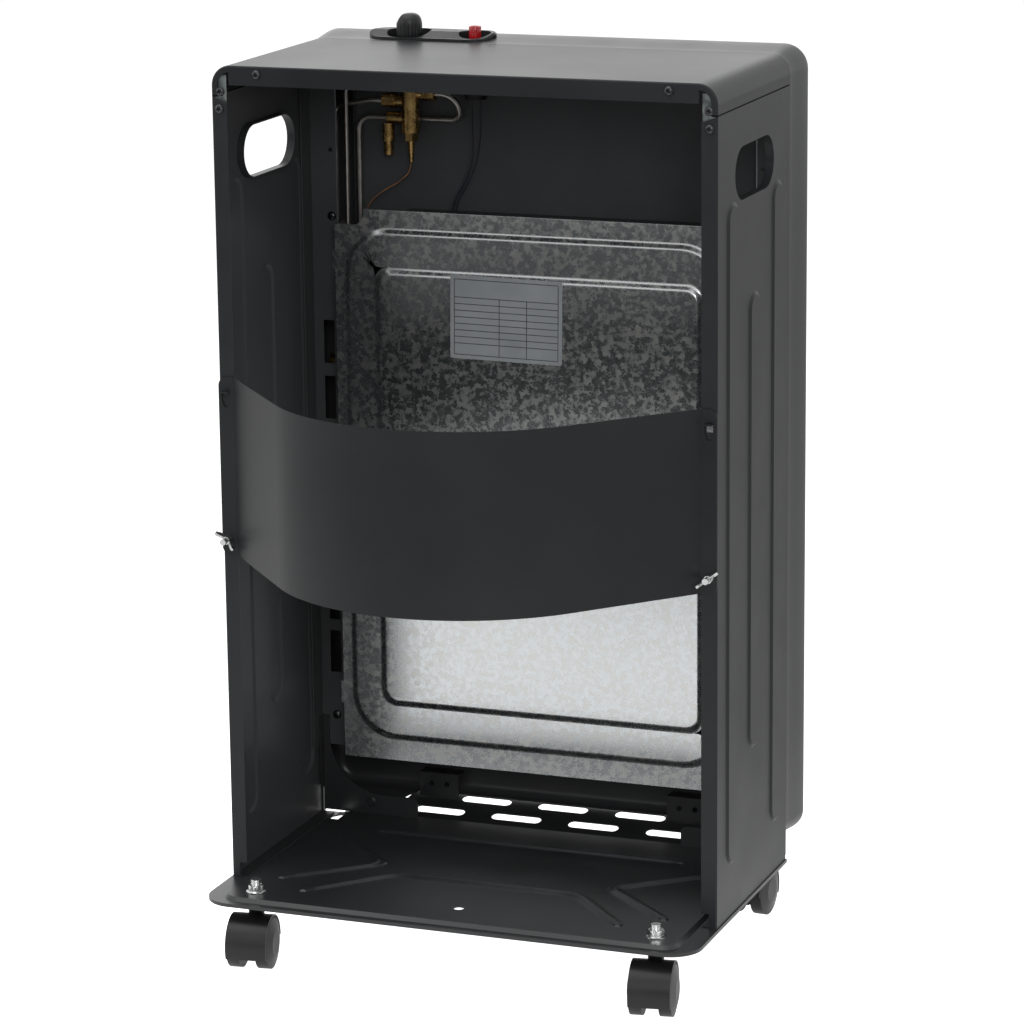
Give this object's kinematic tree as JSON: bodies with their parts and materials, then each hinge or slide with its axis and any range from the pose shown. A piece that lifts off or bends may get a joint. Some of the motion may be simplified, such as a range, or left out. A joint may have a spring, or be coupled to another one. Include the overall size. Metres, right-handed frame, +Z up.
{
  "type": "portable gas cabinet heater",
  "caption": "Cabinet heater for bottled gas: radiant front, open rear with a bowed bottle guard, top controls and swivelling twin-wheel casters.",
  "frame": {"origin": "on the floor, under the middle of the heater's overall box", "axes": "+X to the left as seen from the rear, the controls' side; +Y to the rear, where the bottle goes in; the radiant front faces -Y; +Z up"},
  "size_m": [0.428, 0.403, 0.7505],
  "materials": {
    "charcoal_paint": "satin",
    "black_enamel": "gloss",
    "galvanised_sheet": "spangled",
    "bright_zinc": "bright",
    "burner_steel": "satin",
    "chromed_wire": "polished",
    "ceramic_plaque": "matt",
    "turned_brass": "machined",
    "copper_lead": "drawn",
    "steel_tube": "drawn",
    "black_plastic": "moulded",
    "red_plastic": "glossy",
    "caster_nylon": "satin",
    "wire_sleeve": "matt"
  },
  "bodies": {
    "cabinet": {"top_panel": "charcoal_paint", "front_frame": "charcoal_paint", "side_panel_left": "charcoal_paint", "side_panel_right": "charcoal_paint", "upright_left": "charcoal_paint", "upright_right": "charcoal_paint", "lower_front_panel": "charcoal_paint", "base_pan": "black_enamel", "foot_gusset_left": "black_enamel", "foot_gusset_right": "black_enamel", "heat_shield": "galvanised_sheet", "shield_bracket_left": "galvanised_sheet", "shield_bracket_right": "galvanised_sheet", "control_shelf": "galvanised_sheet", "corner_gusset_left": "bright_zinc", "corner_gusset_right": "bright_zinc", "caster_nuts": "bright_zinc", "guard_studs": "bright_zinc", "caster_studs": "bright_zinc", "burner_housing": "burner_steel", "plaque_bars": "burner_steel", "mixer_tube": "burner_steel", "front_grille": "chromed_wire", "radiant_plaques": "ceramic_plaque", "ignition_electrode": "ceramic_plaque", "valve_body": "turned_brass", "gas_inlet": "turned_brass", "union_nuts": "turned_brass", "thermocouple_nut": "turned_brass", "manifold_bar": "turned_brass", "pilot_burner": "turned_brass", "thermocouple_lead": "copper_lead", "burner_supply_tube": "steel_tube", "second_supply_tube": "steel_tube", "pilot_tube": "steel_tube", "control_plate": "black_plastic", "igniter_body": "black_plastic", "igniter_wires": "wire_sleeve"},
    "valve_spindle": {"valve_spindle": "burner_steel"},
    "control_knob": {"control_knob": "black_plastic"},
    "ignition_button": {"ignition_button": "red_plastic"},
    "rear_guard": {"rear_guard": "charcoal_paint"},
    "wing_nut_left": {"wing_nut_left": "bright_zinc"},
    "wing_nut_right": {"wing_nut_right": "bright_zinc"},
    "caster_rear_left": {"caster_hood_rear_left": "caster_nylon", "caster_axle_rear_left": "steel_tube"},
    "wheel_outer_rear_left": {"caster_wheel_outer_rear_left": "caster_nylon"},
    "wheel_inner_rear_left": {"caster_wheel_inner_rear_left": "caster_nylon"},
    "caster_rear_right": {"caster_hood_rear_right": "caster_nylon", "caster_axle_rear_right": "steel_tube"},
    "wheel_outer_rear_right": {"caster_wheel_outer_rear_right": "caster_nylon"},
    "wheel_inner_rear_right": {"caster_wheel_inner_rear_right": "caster_nylon"},
    "caster_front_left": {"caster_hood_front_left": "caster_nylon", "caster_axle_front_left": "steel_tube"},
    "wheel_outer_front_left": {"caster_wheel_outer_front_left": "caster_nylon"},
    "wheel_inner_front_left": {"caster_wheel_inner_front_left": "caster_nylon"},
    "caster_front_right": {"caster_hood_front_right": "caster_nylon", "caster_axle_front_right": "steel_tube"},
    "wheel_outer_front_right": {"caster_wheel_outer_front_right": "caster_nylon"},
    "wheel_inner_front_right": {"caster_wheel_inner_front_right": "caster_nylon"}
  },
  "joints": [
    {"name": "spindle_push", "type": "slide", "parent": "cabinet", "child": "valve_spindle", "axis": [0, 0, -1], "range_m": [0, 0.004], "stiffness_N_per_m": 1500, "springref_m": -0.003},
    {"name": "knob_turn", "type": "hinge", "parent": "valve_spindle", "child": "control_knob", "pos_m": [0.125, -0.1535, 0.731], "axis": [0, 0, 1], "range_deg": [0, 210]},
    {"name": "button_push", "type": "slide", "parent": "cabinet", "child": "ignition_button", "axis": [0, 0, -1], "range_m": [0, 0.006], "stiffness_N_per_m": 300, "springref_m": -0.004},
    {"name": "guard_release", "type": "slide", "parent": "cabinet", "child": "rear_guard", "axis": [0, 1, 0], "range_m": [0, 0.12]},
    {"name": "wing_nut_left_turn", "type": "hinge", "parent": "rear_guard", "child": "wing_nut_left", "pos_m": [0.2045, 0.06, 0.345], "axis": [0, 1, 0], "continuous": true},
    {"name": "wing_nut_right_turn", "type": "hinge", "parent": "rear_guard", "child": "wing_nut_right", "pos_m": [-0.2045, 0.06, 0.345], "axis": [0, 1, 0], "continuous": true},
    {"name": "swivel_rear_left", "type": "hinge", "parent": "cabinet", "child": "caster_rear_left", "pos_m": [0.172, 0.0945, 0.05], "axis": [0, 0, 1], "continuous": true},
    {"name": "spin_outer_rear_left", "type": "hinge", "parent": "caster_rear_left", "child": "wheel_outer_rear_left", "pos_m": [0.17019, 0.10737, 0.021], "axis": [0.9903, 0.1392, 0], "continuous": true},
    {"name": "spin_inner_rear_left", "type": "hinge", "parent": "caster_rear_left", "child": "wheel_inner_rear_left", "pos_m": [0.17019, 0.10737, 0.021], "axis": [0.9903, 0.1392, 0], "continuous": true},
    {"name": "swivel_rear_right", "type": "hinge", "parent": "cabinet", "child": "caster_rear_right", "pos_m": [-0.172, 0.0945, 0.05], "axis": [0, 0, 1], "continuous": true},
    {"name": "spin_outer_rear_right", "type": "hinge", "parent": "caster_rear_right", "child": "wheel_outer_rear_right", "pos_m": [-0.17403, 0.10734, 0.021], "axis": [0.9877, 0.1564, 0], "continuous": true},
    {"name": "spin_inner_rear_right", "type": "hinge", "parent": "caster_rear_right", "child": "wheel_inner_rear_right", "pos_m": [-0.17403, 0.10734, 0.021], "axis": [0.9877, 0.1564, 0], "continuous": true},
    {"name": "swivel_front_left", "type": "hinge", "parent": "cabinet", "child": "caster_front_left", "pos_m": [0.172, -0.1415, 0.05], "axis": [0, 0, 1], "continuous": true},
    {"name": "spin_outer_front_left", "type": "hinge", "parent": "caster_front_left", "child": "wheel_outer_front_left", "pos_m": [0.172, -0.1545, 0.021], "axis": [-1, 0, 0], "continuous": true},
    {"name": "spin_inner_front_left", "type": "hinge", "parent": "caster_front_left", "child": "wheel_inner_front_left", "pos_m": [0.172, -0.1545, 0.021], "axis": [-1, 0, 0], "continuous": true},
    {"name": "swivel_front_right", "type": "hinge", "parent": "cabinet", "child": "caster_front_right", "pos_m": [-0.172, -0.1415, 0.05], "axis": [0, 0, 1], "continuous": true},
    {"name": "spin_outer_front_right", "type": "hinge", "parent": "caster_front_right", "child": "wheel_outer_front_right", "pos_m": [-0.17291, -0.15447, 0.021], "axis": [-0.9976, 0.0698, 0], "continuous": true},
    {"name": "spin_inner_front_right", "type": "hinge", "parent": "caster_front_right", "child": "wheel_inner_front_right", "pos_m": [-0.17291, -0.15447, 0.021], "axis": [-0.9976, 0.0698, 0], "continuous": true}
  ]
}
